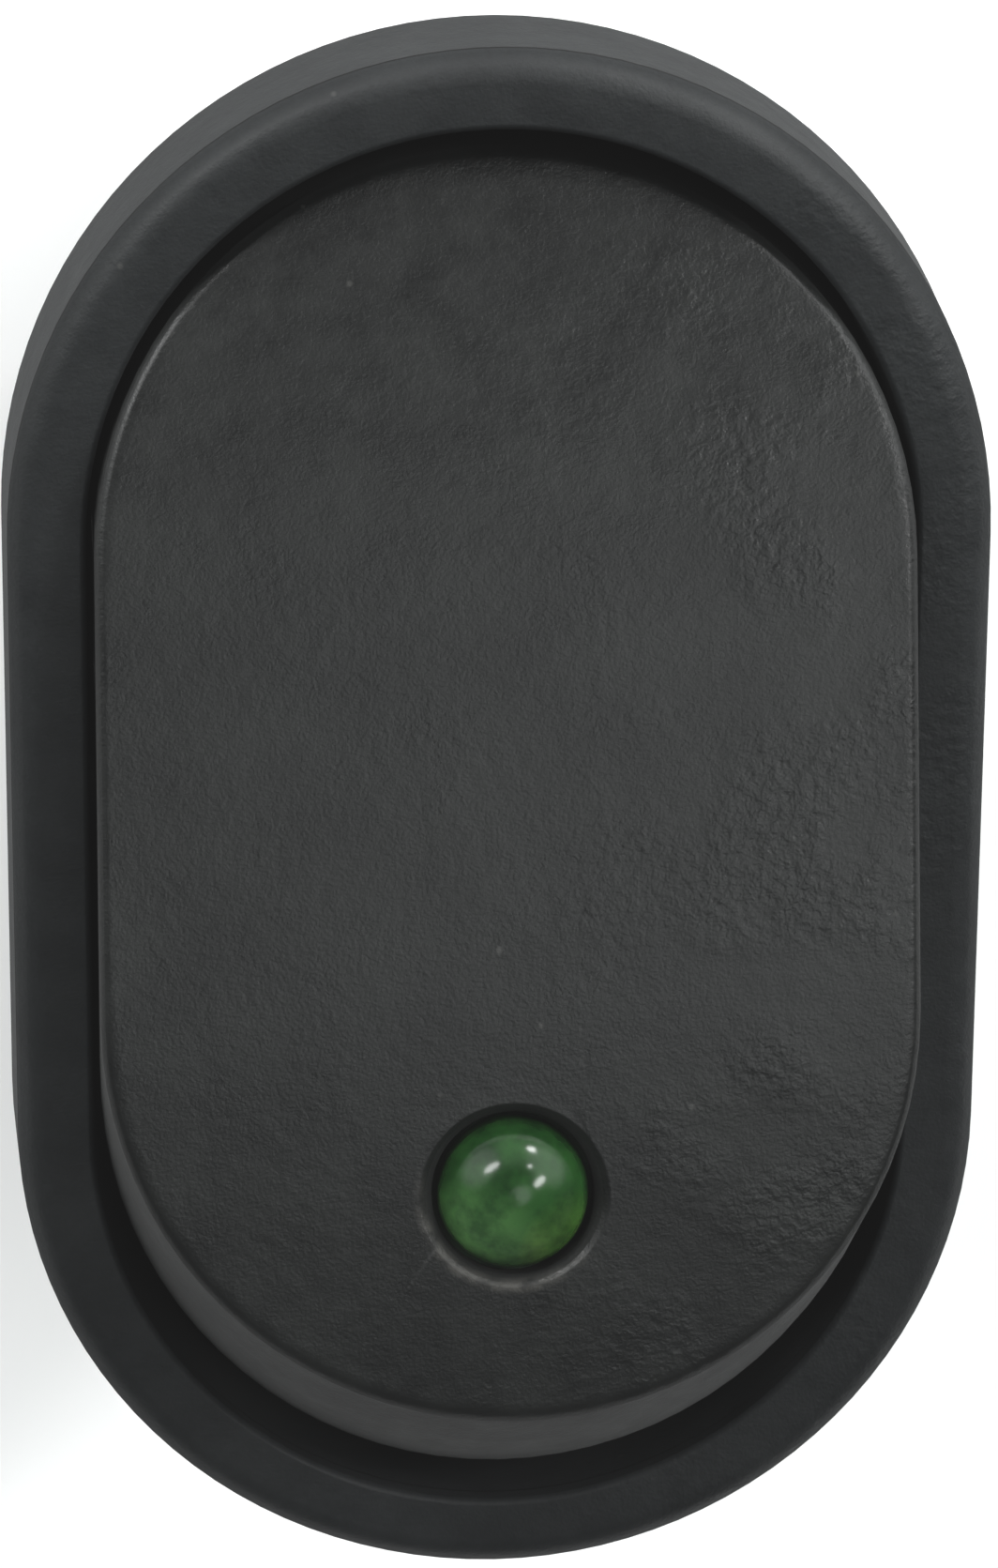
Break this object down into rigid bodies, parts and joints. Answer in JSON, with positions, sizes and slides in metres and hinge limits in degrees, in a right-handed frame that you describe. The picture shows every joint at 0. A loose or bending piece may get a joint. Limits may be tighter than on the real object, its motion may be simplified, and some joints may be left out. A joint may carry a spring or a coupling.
{
  "type": "panel rocker switch",
  "caption": "Oval snap-in panel rocker switch with a green indicator dot, a see-saw contact and blade terminals for supply, load and ground",
  "frame": {"origin": "centre of the flange's rear seat, in the plane of the panel's front face", "axes": "+Z out of the panel towards the user, +Y away from the indicator dot along the oval's length, +X to the user's right with +Y upwards"},
  "size_m": [0.0244, 0.0394, 0.039],
  "materials": {
    "black_nylon": "fine grained, matt",
    "rocker_nylon": "fine grained, satin",
    "green_lens": "clear tinted, glossy",
    "lamp_epoxy": "diffused epoxy",
    "tinned_wire": "tinned",
    "resistor_body": "lacquered",
    "sleeve": "shrunk sleeve",
    "spring_steel": "drawn wire",
    "brass": "stamped",
    "copper": "stamped copper alloy",
    "silver": "silver contact face",
    "plated_brass": "silver plated, stamped"
  },
  "bodies": {
    "case": {"housing": "black_nylon", "terminal_base": "black_nylon", "fixed_contact": "silver", "supply_terminal": "plated_brass", "load_terminal": "plated_brass", "ground_terminal": "brass", "ground_spring": "spring_steel"},
    "rocker": {"rocker": "rocker_nylon", "indicator_lens": "green_lens", "led_lamp": "lamp_epoxy", "led_anode_lead": "tinned_wire", "led_cathode_lead": "tinned_wire", "resistor": "resistor_body", "resistor_lamp_wire": "tinned_wire", "resistor_spring_wire": "tinned_wire", "wire_sleeve": "sleeve", "plunger_spring": "spring_steel"},
    "plunger": {"plunger": "brass"},
    "lever": {"contact_lever": "copper", "moving_contact": "silver"}
  },
  "joints": [
    {"name": "rocker_tilt", "type": "hinge", "parent": "case", "child": "rocker", "pos_m": [0, 0, -0.0016], "axis": [1, 0, 0], "range_deg": [0, 28], "deforming": ["ground_spring"]},
    {"name": "plunger_slide", "type": "slide", "parent": "rocker", "child": "plunger", "axis": [0, 0.2419, 0.9703], "range_m": [0, 0.0008], "stiffness_N_per_m": 1500, "springref_m": -0.001, "deforming": ["plunger_spring"]},
    {"name": "lever_rock", "type": "hinge", "parent": "case", "child": "lever", "pos_m": [0, 0, -0.013], "axis": [1, 0, 0], "range_deg": [-12, 0]}
  ],
  "couplings": [
    {"joint": "lever_rock", "follows": "rocker_tilt", "ratio": -0.42857}
  ]
}
